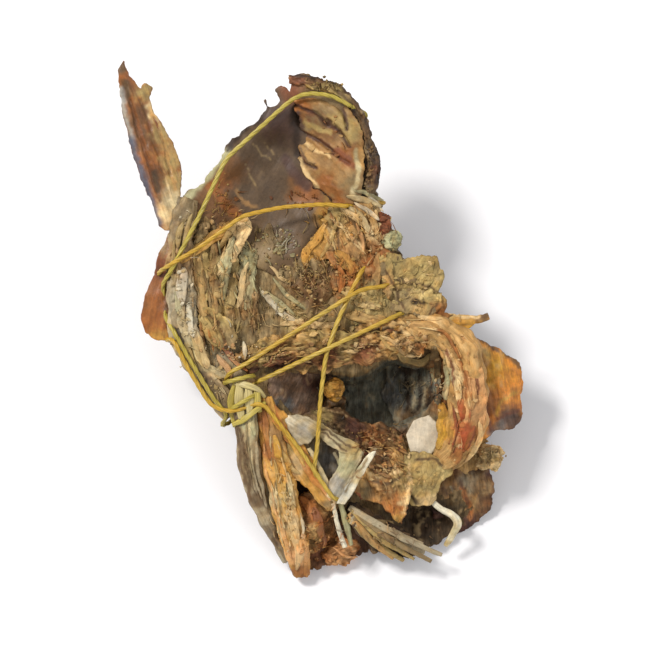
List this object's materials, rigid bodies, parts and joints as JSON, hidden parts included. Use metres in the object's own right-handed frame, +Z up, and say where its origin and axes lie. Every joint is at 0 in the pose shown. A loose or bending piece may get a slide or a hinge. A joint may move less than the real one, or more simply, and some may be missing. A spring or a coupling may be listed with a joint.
{
  "type": "dried cod head",
  "caption": "Dried cod head, sold as stockfish, opened out with bare jaw and throat bones and tied round with thin twine, lying with its opened side up.",
  "frame": {"origin": "centre of the bounding box in X and Y, at its lowest point, which lies on the table", "axes": "+X to the right as the picture shows it, +Y towards the cut nape, +Z up out of the opened side"},
  "size_m": [0.1903, 0.2293, 0.0927],
  "materials": {
    "dried_fish": "dried skin, flesh and bone, matt with a slight sheen, from cream and ochre to dark brown",
    "twine": "thin twisted plastic twine, golden yellow with a soft shine"
  },
  "bodies": {
    "root": {"head": "dried_fish", "twine": "twine"}
  },
  "joints": []
}
